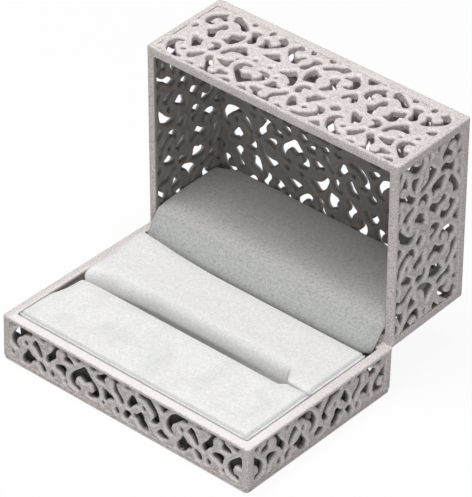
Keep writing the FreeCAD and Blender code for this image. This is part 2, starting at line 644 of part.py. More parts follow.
# ---------------------------------------------------------------- liner and flap
# The liner's velvet face leans from the crease to the ceiling of the lid.
CREASE = Vector(0, -size.crease_standoff, LID_RIM_Z - size.crease_drop)
LINER_RISE = LID_CEILING_Z - CREASE.z
LINER_LEAN = math.degrees(math.atan2(size.liner_rear_standoff - size.crease_standoff, LINER_RISE))
CREASE_POSE = LID_POSE.multiply(Placement(CREASE, Rotation(X_AXIS, LINER_LEAN)))
FLAP_POSE = LID_POSE.multiply(Placement(CREASE, Rotation(X_AXIS, LINER_LEAN + size.flap_bend)))
LINER_LENGTH = (LINER_RISE - size.liner_end_gap) / math.cos(math.radians(LINER_LEAN))
LINER_SPAN = size.box_width - 2 * size.wall - 2 * size.liner_side_gap
FLAP_SPAN = size.box_width - 2 * size.wall - 2 * size.flap_side_gap
CARD_BACK = size.liner_velvet + size.liner_card


def strip(span, low_y, high_y, low_z, high_z):
    """Flat sheet about the crease: y runs from the velvet face into the lid's back."""
    outline = [(low_y, low_z), (high_y, low_z), (high_y, high_z), (low_y, high_z)]
    return prism(outline, -span / 2, span)


def liner_flange(x_from):
    """Folded edge of the liner card, which stands on the inner face of the lid's back wall."""
    lean = math.radians(LINER_LEAN)
    wall_at = lambda z: (-size.wall - CREASE.y + z * math.sin(lean)) / math.cos(lean)
    start = size.leaf_height + size.crease_drop
    outline = [(CARD_BACK, start), (wall_at(start), start), (wall_at(LINER_LENGTH), LINER_LENGTH),
               (CARD_BACK, LINER_LENGTH)]
    return prism(outline, x_from, size.flange_thickness)


liner_board = strip(LINER_SPAN, size.liner_velvet, CARD_BACK, size.crease_setback, LINER_LENGTH)
for x_from in (-LINER_SPAN / 2, LINER_SPAN / 2 - size.flange_thickness):
    liner_board = liner_board.fuse(liner_flange(x_from))
sub_part("liner_card", feature("liner_board", liner_board.removeSplitter()), CREASE_POSE)
liner_skin = strip(LINER_SPAN, 0, size.liner_velvet, size.crease_setback / 2, LINER_LENGTH)
sub_part("liner_velvet", feature("liner_skin", liner_skin), CREASE_POSE)
flap_board = strip(FLAP_SPAN, size.liner_velvet, CARD_BACK, -size.flap_length, -size.crease_setback)
sub_part("flap_card", feature("flap_board", flap_board), FLAP_POSE)
flap_skin = strip(FLAP_SPAN, 0, size.liner_velvet, -size.flap_length, -size.crease_setback / 2)
sub_part("flap_velvet", feature("flap_skin", flap_skin), FLAP_POSE)

# ---------------------------------------------------------------- checks and files
doc.recompute()
for item in doc.Objects:
    if {"Invalid", "Error"} & set(item.State):
        raise RuntimeError(f"{item.Label} did not build: {item.State}")
for item in SUB_PARTS:
    if item.Shape.isNull() or not item.Shape.isValid():
        raise RuntimeError(f"{item.Label} has no valid shape")
    if not item.Shape.Solids:
        raise RuntimeError(f"{item.Label} has no solid")

os.makedirs("parts", exist_ok=True)
for item in SUB_PARTS:
    item.Shape.exportStep(f"parts/{item.Label}.step")
    corner = item.Shape.BoundBox
    print(f"{item.Label:20s} {len(item.Shape.Solids)} solid {item.Shape.Volume:9.1f} mm3  "
          f"x {corner.XMin:6.2f} {corner.XMax:6.2f}  y {corner.YMin:6.2f} {corner.YMax:6.2f}  "
          f"z {corner.ZMin:6.2f} {corner.ZMax:6.2f}")
crease_at = CREASE_POSE.Base
print(f"hinge axis y {HALF_DEPTH:.3f} z {HINGE_Z:.3f}   crease y {crease_at.y:.3f} z {crease_at.z:.3f}")
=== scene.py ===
import json
import math

import bmesh
import bpy
from mathutils import Matrix, Vector, noise
from mathutils.geometry import interpolate_bezier
from mathutils.kdtree import KDTree


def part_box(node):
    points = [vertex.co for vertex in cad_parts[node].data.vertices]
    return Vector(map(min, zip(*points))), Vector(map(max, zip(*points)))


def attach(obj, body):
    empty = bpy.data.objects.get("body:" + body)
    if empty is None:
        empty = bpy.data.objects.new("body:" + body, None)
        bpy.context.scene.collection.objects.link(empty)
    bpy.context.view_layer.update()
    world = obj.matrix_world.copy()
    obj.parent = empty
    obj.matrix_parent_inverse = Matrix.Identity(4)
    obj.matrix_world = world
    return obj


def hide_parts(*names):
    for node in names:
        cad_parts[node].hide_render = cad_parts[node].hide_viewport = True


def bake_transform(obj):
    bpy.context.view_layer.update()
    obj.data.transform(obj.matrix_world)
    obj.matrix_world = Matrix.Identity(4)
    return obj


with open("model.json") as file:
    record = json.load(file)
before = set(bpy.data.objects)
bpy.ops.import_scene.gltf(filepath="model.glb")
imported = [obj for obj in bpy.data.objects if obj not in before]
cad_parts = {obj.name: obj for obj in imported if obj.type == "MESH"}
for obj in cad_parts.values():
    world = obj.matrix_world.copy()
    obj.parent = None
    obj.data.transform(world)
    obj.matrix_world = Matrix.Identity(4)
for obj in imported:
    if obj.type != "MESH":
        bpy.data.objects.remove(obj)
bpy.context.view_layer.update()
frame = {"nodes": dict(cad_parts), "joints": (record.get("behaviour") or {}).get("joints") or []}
nodes = frame["nodes"]
scene = bpy.context.scene
MM = 0.001

# ---------------------------------------------------------------- camera
# A long lens with little distortion, from the front right and above the open box. It is turned a
# little about its own line of sight.
aim = Vector((1.32, 13.47, 34.31)) * MM
azimuth, elevation, roll = math.radians(39.818), math.radians(35.495), math.radians(1.63)
distance = 0.92685
back = Vector((math.sin(azimuth) * math.cos(elevation), -math.cos(azimuth) * math.cos(elevation),
               math.sin(elevation)))
camera = bpy.data.objects.new("camera", bpy.data.cameras.new("camera"))
camera.data.lens = 257.58
camera.data.clip_start = 0.05
camera.data.clip_end = 20
camera.matrix_world = (Matrix.Translation(aim + back * distance)
                       @ (-back).to_track_quat("-Z", "Y").to_matrix().to_4x4()
                       @ Matrix.Rotation(roll, 4, "Z"))
scene.collection.objects.link(camera)
scene.camera = camera
scene.view_settings.view_transform = "Standard"


# ---------------------------------------------------------------- studio
# A plain white table under one wide soft lamp overhead and a low weak one in front. The table
# and the world show as white to the camera and still carry the box's shadow.
class Signal:
    """A socket that feeds others. Arithmetic on it adds Math nodes."""

    def __init__(self, finish, socket):
        self.finish = finish
        self.socket = socket

    def maths(self, operation, first, second):
        return self.finish.node("ShaderNodeMath", {"operation": operation}, {0: first, 1: second})

    def __add__(self, other):
        return self.maths("ADD", self, other)

    def __sub__(self, other):
        return self.maths("SUBTRACT", self, other)

    def __rsub__(self, other):
        return self.maths("SUBTRACT", other, self)

    def __mul__(self, other):
        return self.maths("MULTIPLY", self, other)

    __radd__ = __add__
    __rmul__ = __mul__


class Finish:
    """A node tree with a short way to add nodes to it."""

    def __init__(self, name):
        self.material = bpy.data.materials.new(name)
        self.material.use_nodes = True
        self.tree = self.material.node_tree
        self.shader = self.tree.nodes["Principled BSDF"]

    def node(self, kind, settings=None, sockets=None, output=0):
        """Add any node: its settings first, then what its sockets hold or are fed by."""
        made = self.tree.nodes.new(kind)
        for name, value in (settings or {}).items():
            setattr(made, name, value)
        self.feed(made, sockets or {})
        return Signal(self, made.outputs[output])

    def feed(self, node, sockets):
        for name, value in sockets.items():
            if isinstance(value, Signal):
                self.tree.links.new(value.socket, node.inputs[name])
            else:
                node.inputs[name].default_value = value

    def noise(self, size, detail=2.0, roughness=0.5):
        """Noise whose grains are about so many millimetres across."""
        place = self.node("ShaderNodeTexCoord", output="Object")
        scale = 1 / (size * MM)
        return self.node("ShaderNodeTexNoise", {"noise_dimensions": "3D"},
                         {"Vector": place, "Scale": scale, "Detail": detail, "Roughness": roughness})

    def mix(self, share, first, second):
        """Two colours mixed by a share."""
        return self.node("ShaderNodeMix", {"data_type": "RGBA", "clamp_factor": True},
                         {0: share, 6: first, 7: second}, output=2)

    def bump(self, height, depth, strength=1.0):
        """Normal of a surface whose relief is so many millimetres deep."""
        return self.node("ShaderNodeBump", {},
                         {"Height": height, "Distance": depth * MM, "Strength": strength})


white = (1.0, 1.0, 1.0, 1.0)
table_finish = Finish("table_paper")
grain = table_finish.noise(0.6)
table_finish.feed(table_finish.shader, {
    "Base Color": table_finish.mix(grain, (0.50, 0.50, 0.50, 1), (0.56, 0.56, 0.56, 1)), "Roughness": 0.9})
shown_white = table_finish.node("ShaderNodeEmission", {}, {"Color": white, "Strength": 1.05})
rays = [table_finish.node("ShaderNodeLightPath", output=name)
        for name in ("Is Camera Ray", "Is Glossy Ray", "Is Transmission Ray")]
table_white_share = 0.88
seen = (rays[0] + rays[1] + rays[2]) * table_white_share
lit_table = Signal(table_finish, table_finish.shader.outputs[0])
both = table_finish.node("ShaderNodeMixShader", {}, {0: seen, 1: lit_table, 2: shown_white})
table_finish.tree.links.new(both.socket, table_finish.tree.nodes["Material Output"].inputs["Surface"])

table_top = bmesh.new()
bmesh.ops.create_grid(table_top, x_segments=4, y_segments=4, size=6.0)
table_mesh = bpy.data.meshes.new("table")
table_top.to_mesh(table_mesh)
table = bpy.data.objects.new("table", table_mesh)
scene.collection.objects.link(table)
table_mesh.materials.append(table_finish.material)

scene.world = bpy.data.worlds.new("studio")
scene.world.use_nodes = True
sky = scene.world.node_tree
paths = sky.nodes.new("ShaderNodeLightPath")
glossy_too = sky.nodes.new("ShaderNodeMath")
glossy_too.operation = "MAXIMUM"
clear_too = sky.nodes.new("ShaderNodeMath")
clear_too.operation = "MAXIMUM"
strength = sky.nodes.new("ShaderNodeMapRange")
room_strength = 0.14
strength.inputs["To Min"].default_value = room_strength
strength.inputs["To Max"].default_value = 1.0
sky.links.new(paths.outputs["Is Camera Ray"], glossy_too.inputs[0])
sky.links.new(paths.outputs["Is Glossy Ray"], glossy_too.inputs[1])
sky.links.new(glossy_too.outputs[0], clear_too.inputs[0])
sky.links.new(paths.outputs["Is Transmission Ray"], clear_too.inputs[1])
sky.links.new(clear_too.outputs[0], strength.inputs["Value"])
sky.links.new(strength.outputs[0], sky.nodes["Background"].inputs["Strength"])
sky.nodes["Background"].inputs["Color"].default_value = white


def soft_lamp(name, place, target, size, watts):
    """Square soft lamp at a place, turned to a target."""
    lamp = bpy.data.objects.new(name, bpy.data.lights.new(name, "AREA"))
    lamp.data.size = size
    lamp.data.energy = watts
    lamp.location = place
    lamp.rotation_euler = (Vector(target) - Vector(place)).to_track_quat("-Z", "Y").to_euler()
    scene.collection.objects.link(lamp)


box_middle = (0.0, 0.01, 0.03)
soft_lamp("overhead_lamp", (-0.05, -0.10, 1.0), box_middle, 0.5, 9.0)
soft_lamp("front_lamp", (0.85, -0.95, 0.32), box_middle, 0.8, 4.8)


# ---------------------------------------------------------------- flock
# Short pinkish-grey fibres shot into glue: matt, with a fine speckle from fibres that lean different
# ways. Deep in the cut-outs and on faces that look inwards the colour turns to a painted shade of
# dark brown, and on the scrolls' crests and the base's rim a painted highlight makes it paler.
def flock(name, pale, shaded, painted_shade_brown, highlight_pale):
    """Speckled fibres that darken towards a painted shade and turn paler under a painted highlight."""
    speckle_contrast, patch_contrast, pale_share = 3.2, 0.6, 0.55
    made = Finish(name)
    speckle = made.noise(0.42, 1.0)
    patches = made.noise(7.0, 2.0)
    share = (speckle - 0.5) * speckle_contrast + (patches - 0.5) * patch_contrast + pale_share
    # cover is the share of the fibres' colour; where it falls, the colour goes to the painted shade.
    cover = made.node("ShaderNodeAttribute", {"attribute_name": "flock_unshaded"}, output="Fac")
    highlights = made.node("ShaderNodeAttribute", {"attribute_name": "flock_painted_highlight"}, output="Fac")
    coat = made.mix(highlights * (share * 0.45 + 0.7), made.mix(share, shaded, pale), highlight_pale)
    fibres = made.noise(0.28, 2.0, 0.7)
    made.feed(made.shader, {
        "Base Color": made.mix(cover, painted_shade_brown, coat),
        "Roughness": 0.95, "Specular IOR Level": 0.1,
        "Sheen Weight": 0.08, "Sheen Roughness": 0.6, "Sheen Tint": (1.0, 0.95, 0.93, 1),
        "Normal": made.bump(fibres, 0.12, 1.0)})
    return made.material


shell_flock = flock("greige_flock", pale=(0.79, 0.735, 0.72, 1), shaded=(0.53, 0.48, 0.46, 1),
                    painted_shade_brown=(0.21, 0.19, 0.175, 1), highlight_pale=(0.93, 0.885, 0.88, 1))


def paint_flock_light(piece, unshaded_shares, highlights=None):
    """Store at each vertex, from 0 to 1, how free the flock is of painted shade and how strong its painted
    highlight is.
    """
    for name, values in (("flock_unshaded", unshaded_shares), ("flock_painted_highlight", highlights or [0.0] * len(unshaded_shares))):
        layer = piece.data.attributes.new(name, "FLOAT", "POINT")
        layer.data.foreach_set("value", values)


# ---------------------------------------------------------------- openwork walls
# Pierced plastic panels, moulded with rounded scrolls that are dished in their broad leaves, and
# flocked. They sit a little behind the border bars of the shell that carries them.
lid_joint = next(joint for joint in frame["joints"] if joint["name"] == "lid_hinge")
hinge_place = Matrix.Translation(Vector(lid_joint["pos_m"]))
shut_turn = Matrix.Rotation(math.radians(lid_joint["range_deg"][1]), 4, "X")
to_shut = hinge_place @ shut_turn @ hinge_place.inverted()
to_open = to_shut.inverted()
UNTURNED = Matrix.Identity(4)

base_low, base_high = [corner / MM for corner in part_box("base_front_panel")]
half_width, half_depth = base_high.x, -base_low.y
floor_top, rim_top = base_low.z, base_high.z
rim_height = 1.3
wall_voxel, lid_top_voxel = 0.33, 0.395


def finished(name, bm, material, body):
    """Make a piece of a bmesh, in place, on its body."""
    mesh = bpy.data.meshes.new(name)
    bm.to_mesh(mesh)
    bm.free()
    mesh.materials.append(material)
    mesh.shade_smooth()
    piece = bpy.data.objects.new(name, mesh)
    scene.collection.objects.link(piece)
    if body:
        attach(piece, body)
    return piece


def even_skin(bm, voxel):
    """The same closed form as one even skin of small quads."""
    draft = finished("draft", bm, None, None)
    remesh = draft.modifiers.new("even_skin", "REMESH")
    remesh.mode = "VOXEL"
    remesh.voxel_size = voxel * MM
    ready = draft.evaluated_get(bpy.context.evaluated_depsgraph_get())
    skin = bmesh.new()
    skin.from_mesh(ready.to_mesh())
    ready.to_mesh_clear()
    bpy.data.objects.remove(draft)
    return skin


def soften(bm, rounds):
    """Even out a skin, which rounds its edges."""
    for _ in range(rounds):
        bmesh.ops.smooth_vert(bm, verts=bm.verts, factor=0.5, use_axis_x=True, use_axis_y=True,
                              use_axis_z=True)


scroll_recess = 0.06
scroll_round = 1.1
scroll_drop = 0.95
leaf_dish = 0.4
leaf_slope = 0.7
inner_relief = 0.75
crest_highlight = 0.6
groove_depth, groove_width, groove_drop = 0.55, 0.4, 0.3
tufts_per_metre = 2200
tuft_height = 0.06
face_shrink, cut_shrink = 0.02, 0.17
cut_slant, cut_band = 0.4, 0.6


def smooth_step(value, low, high):
    """0 below low, 1 above high and smooth between them."""
    share = min(1.0, max(0.0, (value - low) / (high - low)))
    return share * share * (3 - 2 * share)


def scroll_relief(from_edge):
    """How far the face of a scroll lies back, by the distance from its edge, in millimetres."""
    if from_edge < scroll_round:
        rise = 1 - from_edge / scroll_round
        return scroll_recess + scroll_drop * (1 - math.sqrt(max(0.0, 1 - rise * rise)))
    return scroll_recess + leaf_dish * smooth_step(from_edge, scroll_round, scroll_round + leaf_slope)


def openwork(name, outward, body, turn=UNTURNED, voxel=wall_voxel, thicker=0.0, shade_from=0.4,
             shade_at=1.8, groove_z=None):
    """Moulded wall from the pierced panel of the same name. outward points out of the shut box. The
    inside stands further in by thicker, and painted shade darkens the flock from shade_from to shade_at
    deep."""
    panel = bmesh.new()
    panel.from_mesh(nodes[name].data)
    bmesh.ops.remove_doubles(panel, verts=panel.verts, dist=1e-6)
    bmesh.ops.transform(panel, matrix=turn, verts=panel.verts)
    wall = even_skin(panel, voxel)
    outward = Vector(outward)
    heights = [vert.co.dot(outward) / MM for vert in wall.verts]
    face, inside = max(heights), min(heights)
    middle, half = (face + inside) / 2, (face - inside) / 2
    low = Vector([min(vert.co[axis] for vert in wall.verts) for axis in range(3)])
    high = Vector([max(vert.co[axis] for vert in wall.verts) for axis in range(3)])
    across = [axis for axis in range(3) if abs(outward[axis]) < 0.5]
    wall.normal_update()
    edges = [vert for vert, height in zip(wall.verts, heights)
             if abs(vert.normal.dot(outward)) < cut_slant and abs(height - middle) < cut_band * half
             and all(low[axis] + MM < vert.co[axis] < high[axis] - MM for axis in across)]
    tree = KDTree(len(edges))
    for index, vert in enumerate(edges):
        tree.insert(vert.co - outward * vert.co.dot(outward), index)
    tree.balance()
    highlights = []
    for vert, height in zip(wall.verts, heights):
        flat = vert.co - outward * vert.co.dot(outward)
        from_edge = tree.find(flat)[2] / MM
        side = (height - middle) / half
        # Painted highlight along the crests near the scrolls' edges.
        highlights.append(crest_highlight * smooth_step(side, 0.3, 0.9)
                      * (1 - smooth_step(from_edge, 0.35, 1.0)))
        if side > 0:
            groove = math.exp(-((vert.co.z / MM - groove_z) / groove_width) ** 2) if groove_z else 0.0
            vert.co -= outward * (scroll_relief(from_edge) + groove_depth * groove) * side * MM
        else:
            vert.co += outward * (thicker - inner_relief * scroll_relief(from_edge)) * side * MM
    soften(wall, 1)
    wall.normal_update()
    unshaded_shares = []
    for vert in wall.verts:
        depth = face - vert.co.dot(outward) / MM
        # Painted shade, deeper the further in from the outer face.
        unshaded_shares.append(1 - smooth_step(depth, shade_from, shade_at))
        in_cut = 1 - abs(vert.normal.dot(outward))
        tuft = tuft_height * noise.noise(vert.co * tufts_per_metre)
        vert.co += vert.normal * (tuft - face_shrink - cut_shrink * in_cut) * MM
    bmesh.ops.transform(wall, matrix=turn.inverted(), verts=wall.verts)
    piece = finished(name.replace("panel", "openwork"), wall, shell_flock, body)
    paint_flock_light(piece, unshaded_shares, highlights)
    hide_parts(name)


front, rear, left, right, up = (0, -1, 0), (0, 1, 0), (-1, 0, 0), (1, 0, 0), (0, 0, 1)
for name, outward in (("base_front_panel", front), ("base_back_panel", rear),
                      ("base_left_panel", left), ("base_right_panel", right)):
    openwork(name, outward, "base", groove_z=rim_top - rim_height - groove_drop)
lid_thicker = 0.45
openwork("lid_front_panel", front, "lid", to_shut, thicker=lid_thicker, shade_from=1.6, shade_at=5.0)
for name, outward in (("lid_back_panel", rear), ("lid_left_panel", left), ("lid_right_panel", right)):
    openwork(name, outward, "lid", to_shut, thicker=lid_thicker)
openwork("lid_top_panel", up, "lid", to_shut, lid_top_voxel, thicker=lid_thicker)


# ---------------------------------------------------------------- border bars
# The rims, posts and foot of each shell: plain square bars of the same moulding, thickly flocked,
# so that their edges are round. The lid's bars are laid out on the shut box and turned back with it.
def bar(bm, low, high):
    """Add a block between two corners, in millimetres."""
    middle = [(a + b) / 2 for a, b in zip(low, high)]
    span = [b - a for a, b in zip(low, high)]
    place = Matrix.Translation(Vector(middle) * MM) @ Matrix.Diagonal(Vector(span) * MM).to_4x4()
    bmesh.ops.create_cube(bm, size=1.0, matrix=place)


def ring(bm, half_x, half_y, width, low_z, high_z):
    """Four bars round a rectangle."""
    for side in (-1, 1):
        ends = sorted((side * half_y, side * (half_y - width)))
        bar(bm, (-half_x, ends[0], low_z), (half_x, ends[1], high_z))
        ends = sorted((side * half_x, side * (half_x - width)))
        bar(bm, (ends[0], -half_y, low_z), (ends[1], half_y, high_z))


def posts(bm, half_x, half_y, width, depth, low_z, high_z):
    """Four corner posts."""
    for side_x in (-1, 1):
        for side_y in (-1, 1):
            xs = sorted((side_x * half_x, side_x * (half_x - width)))
            ys = sorted((side_y * half_y, side_y * (half_y - depth)))
            bar(bm, (xs[0], ys[0], low_z), (xs[1], ys[1], high_z))


wall_thickness = 2.5
bar_swell, bar_tuft_height = 0.02, 0.05
parting = rim_top + 0.05
parting_gap = 0.01
hinge_sharpness = 0.8


def border(name, bars, body, rounds, turn=UNTURNED, rim_highlight=0.0):
    """One skin round all the bars of a shell. Painted shade darkens the faces that look inwards, and a
    painted highlight lies on the upward faces of the base's rim, most of all in front. The edges that
    meet along the hinge's axis stay sharp."""
    skin = even_skin(bars, wall_voxel)
    soften(skin, rounds)
    skin.normal_update()
    unshaded_shares, highlights = [], []
    for vert in skin.verts:
        # Painted highlight on the rim's upward faces, fading towards the back and the left.
        on_rim = (smooth_step(vert.normal.z, 0.0, 0.9)
                  * smooth_step(vert.co.z / MM, rim_top - rim_height, rim_top - 0.3))
        highlight_falloff = 1 - 0.75 * smooth_step(vert.co.y / MM, -half_depth, 20)
        highlight_falloff *= 1 - 0.8 * smooth_step(-vert.co.x / MM, half_width - 3, half_width - 1)
        highlights.append(rim_highlight * on_rim * highlight_falloff)
        # Painted shade on the faces that look inwards.
        inward = -vert.normal.x * vert.co.x / half_width / MM - vert.normal.y * vert.co.y / half_depth / MM
        unshaded_shares.append(1 - 0.85 * smooth_step(inward, 0.3, 0.8))
        tuft = bar_tuft_height * noise.noise(vert.co * tufts_per_metre)
        vert.co += vert.normal * (bar_swell * rounds + tuft) * MM
        if body == "base":
            vert.co.z = min(vert.co.z, (parting - parting_gap) * MM)
        else:
            vert.co.z = max(vert.co.z, (parting + parting_gap) * MM)
        to_hinge = Vector((0, half_depth, parting)) * MM - vert.co
        to_hinge.x = 0
        vert.co += to_hinge * hinge_sharpness * (1 - smooth_step(to_hinge.length / MM, 0.35, 1.0))
    bmesh.ops.transform(skin, matrix=turn, verts=skin.verts)
    piece = finished(name, skin, shell_flock, body)
    paint_flock_light(piece, unshaded_shares, highlights)


# The posts and the lid's far edge reach just over the ends of the panels that butt against them.
base_post, panel_end, foot_height, base_rim_width = 2.1, 2.65, 0.7, 2.8
base_bars = bmesh.new()
ring(base_bars, half_width, half_depth, base_rim_width, rim_top - rim_height, rim_top)
ring(base_bars, half_width, half_depth, wall_thickness, floor_top, floor_top + foot_height)
posts(base_bars, half_width, half_depth, base_post, panel_end, floor_top, rim_top)
border("base_border", base_bars, "base", rounds=4, rim_highlight=1.0)

# The bars round the lid's mouth are a little wider in front and at the right.
lid_rim = rim_top + 0.1
lid_top = lid_rim + 29.5
lid_post, lid_lip = 1.6, 2.9
mouth_top = lid_rim + 1.0
lid_bars = bmesh.new()
ring(lid_bars, half_width, half_depth, wall_thickness, lid_rim, mouth_top)
bar(lid_bars, (-half_width, -half_depth, lid_rim), (half_width, -half_depth + lid_lip, mouth_top))
bar(lid_bars, (half_width - lid_lip, -half_depth, lid_rim), (half_width, half_depth, mouth_top))
ring(lid_bars, half_width, half_depth, lid_post, lid_top - panel_end, lid_top)
posts(lid_bars, half_width, half_depth, lid_post, panel_end, lid_rim, lid_top)
border("lid_border", lid_bars, "lid", rounds=2, turn=to_open)


# ---------------------------------------------------------------- floor plate
# A thin plate under the base's walls, flocked like them. Its round edge shows as a bead below a
# fine groove all the way round.
plate_low, plate_high = [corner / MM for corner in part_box("base_floor")]
plate_corner, plate_bead = 1.2, 0.3
plate = bmesh.new()
bar(plate, plate_low, plate_high)
upright = [edge for edge in plate.edges if abs((edge.verts[0].co - edge.verts[1].co).z) > 0.1 * MM]
bmesh.ops.bevel(plate, geom=upright, offset=plate_corner * MM, affect="EDGES", segments=6, profile=0.5,
                material=-1)
level = [edge for edge in plate.edges if abs((edge.verts[0].co - edge.verts[1].co).z) < 0.1 * MM]
bmesh.ops.bevel(plate, geom=level, offset=plate_bead * MM, affect="EDGES", segments=3, profile=0.5,
                material=-1)
floor_plate = finished("base_floor_plate", plate, shell_flock, "base")
paint_flock_light(floor_plate, [1.0] * len(floor_plate.data.vertices))
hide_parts("base_floor")


# ---------------------------------------------------------------- velvet
# Cut pile, off-white on the pads and grey on the liner. It leans in soft patches, some a little
# cooler and some pinker, and its tips catch the light at glancing angles.
def velvet(name, plain, cool, warm, sheen, grain, bands):
    """Each band is a tint that grows between two places along one axis, in millimetres."""
    painted_shade_tint, between_fibres = (0.40, 0.405, 0.40, 1), (0.22, 0.222, 0.22, 1)
    cool_level, cool_contrast = 0.45, 3.0
    warm_level, warm_contrast = 0.56, 4.0
    pile_shade = 0.16
    made = Finish(name)
    cool_patches = made.noise(9.0, 3.0)
    warm_patches = made.noise(14.0, 2.0)
    tinted = made.mix((cool_patches - cool_level) * cool_contrast, plain, cool)
    tinted = made.mix((warm_patches - warm_level) * warm_contrast, tinted, warm)
    place = made.node("ShaderNodeTexCoord", output="Object")
    for axis, start, end, tint in bands:
        along = made.node("ShaderNodeSeparateXYZ", {}, {"Vector": place}, output=axis) * (1 / MM)
        tinted = made.mix((along - start) * (1 / (end - start)), tinted, tint)
    # Painted shade stored on the pieces: low in the slot and along the pads' fold.
    pile_shade_share = made.node("ShaderNodeAttribute", {"attribute_name": "pile_painted_shade"}, output="Fac")
    tinted = made.mix(pile_shade_share, tinted, painted_shade_tint)
    pile = made.noise(0.6, 3.0, 0.75)
    shade = made.mix((pile - 0.5) * grain + pile_shade, tinted, between_fibres)
    made.feed(made.shader, {
        "Base Color": shade, "Roughness": 0.9, "Specular IOR Level": 0.15,
        "Sheen Weight": sheen, "Sheen Roughness": 0.5, "Sheen Tint": (1.0, 1.0, 1.0, 1),
        "Normal": made.bump(pile, 0.06, 0.6)})
    return made.material


pad_velvet = velvet(
    "pad_velvet", plain=(0.94, 0.94, 0.93, 1), cool=(0.80, 0.82, 0.81, 1),
    warm=(0.94, 0.885, 0.885, 1), sheen=0.2, grain=0.7, bands=[("Y", 1, 6, (0.875, 0.87, 0.865, 1))])
# On the liner, painted shade darkens it towards the back of the lid and a painted highlight lies just above
# the crease; the flap below the crease is a cooler grey.
liner_velvet = velvet(
    "liner_velvet", plain=(0.56, 0.54, 0.535, 1), cool=(0.53, 0.53, 0.52, 1),
    warm=(0.57, 0.53, 0.525, 1), sheen=0.15, grain=2.1,
    bands=[("Y", 30, 56, (0.35, 0.33, 0.325, 1)), ("Y", 35, 30.5, (0.60, 0.58, 0.575, 1)),
           ("Y", 29.6, 28.0, (0.53, 0.54, 0.53, 1))])


# ---------------------------------------------------------------- ring pads
# Two foam blocks wrapped in velvet, pressed into the base side by side. The cover bulges a little
# between its edges. A soft lip and, 1.5 mm in, a fine fold follow its front and right edges.
def swell(bm, voxel, cap):
    """Blow a closed form up softly from inside, by no more than cap, as foam fills its cover. The
    cloth runs at an enlarged size."""
    enlarged, frames = 10.0, 20
    skin = even_skin(bm, voxel)
    before = [vert.co.copy() for vert in skin.verts]
    bmesh.ops.scale(skin, vec=(enlarged,) * 3, verts=skin.verts)
    draft = finished("draft", skin, None, None)
    cloth = draft.modifiers.new("swell", "CLOTH")
    cloth.settings.use_pressure = True
    cloth.settings.uniform_pressure_force = 4.0
    cloth.settings.effector_weights.gravity = 0.0
    cloth.point_cache.frame_start = 1
    cloth.point_cache.frame_end = frames
    for step in range(1, frames + 1):
        scene.frame_set(step)
    ready = draft.evaluated_get(bpy.context.evaluated_depsgraph_get())
    full = bmesh.new()
    full.from_mesh(ready.to_mesh())
    ready.to_mesh_clear()
    bpy.data.objects.remove(draft)
    scene.frame_set(1)
    bmesh.ops.scale(full, vec=(1 / enlarged,) * 3, verts=full.verts)
    for vert, start in zip(full.verts, before):
        move = vert.co - start
        if move.length > cap * MM:
            move.length = cap * MM
        vert.co = start + move
    soften(full, 3)
    return full


def foam(name, pale, deep):
    """Open-celled foam: matt, and darker in its cells."""
    made = Finish(name)
    cells = made.noise(0.5, 2.0)
    made.feed(made.shader, {
        "Base Color": made.mix(cells, deep, pale), "Roughness": 1.0, "Normal": made.bump(cells, 0.1, 0.8)})
    return made.material


pad_foam = foam("charcoal_foam", (0.12, 0.105, 0.095, 1), (0.07, 0.062, 0.056, 1))


def painted_shade_sides(piece, below, left_x, right_x, front_y, rear_y):
    """The velvet is folded in under its edge: the outer sides show the foam below it, whose dark
    colour there is painted shade for the gap seen through the openings.
    """
    piece.data.materials.append(pad_foam)
    for polygon in piece.data.polygons:
        x, y, z = polygon.center / MM
        outer = x < left_x or x > right_x or y < front_y or y > rear_y
        if z < below and outer:
            polygon.material_index = 1


def rounded_edges(bm, radius):
    """Round all the edges of a block."""
    bmesh.ops.bevel(bm, geom=bm.edges, offset=radius * MM, affect="EDGES", segments=3, profile=0.5,
                    material=-1)


pad_low, pad_high = [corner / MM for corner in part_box("front_pad_cover")]
rear_low, rear_high = [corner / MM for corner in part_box("rear_pad_cover")]
pad_swell = 0.35
pad_grow = 0.1
pad_voxel = 0.7
edge_round = 0.5
wall_clearance = 0.05
pad_side = half_width - wall_thickness - wall_clearance
pad_front = -half_depth + wall_thickness + wall_clearance
pad_top = pad_high.z
side_skin = 0.8
velvet_foot = 11.8
rear_skin_y = 20.0
fold_inset, fold_width, fold_depth = 1.5, 0.36, 0.65
lip_inset, lip_width, lip_height = 0.5, 0.45, 0.45
slot_shade, fold_shade = 0.8, 0.6


def paint_pile_shade(piece, shares):
    """Darken the velvet by these shares of painted shade, low in the slot and along the fold."""
    pile_shade_share = piece.data.attributes.new("pile_painted_shade", "FLOAT", "POINT")
    pile_shade_share.data.foreach_set("value", shares)


def slot_painted_shade(x, z):
    """Painted shade on the slot's walls: darkest low down, paler towards the right end."""
    return slot_shade * smooth_step(-z, -10.7, -9.4) * (1 - 0.6 * smooth_step(x, 4, 27))


def fold_line(from_edge):
    """Depth of the fine fold that runs along an edge of a pad."""
    return fold_depth * math.exp(-((from_edge - fold_inset) / fold_width) ** 2)


def lip(from_edge):
    """Height of the soft lip between the fold and the edge."""
    return lip_height * math.exp(-((from_edge - lip_inset) / lip_width) ** 2)


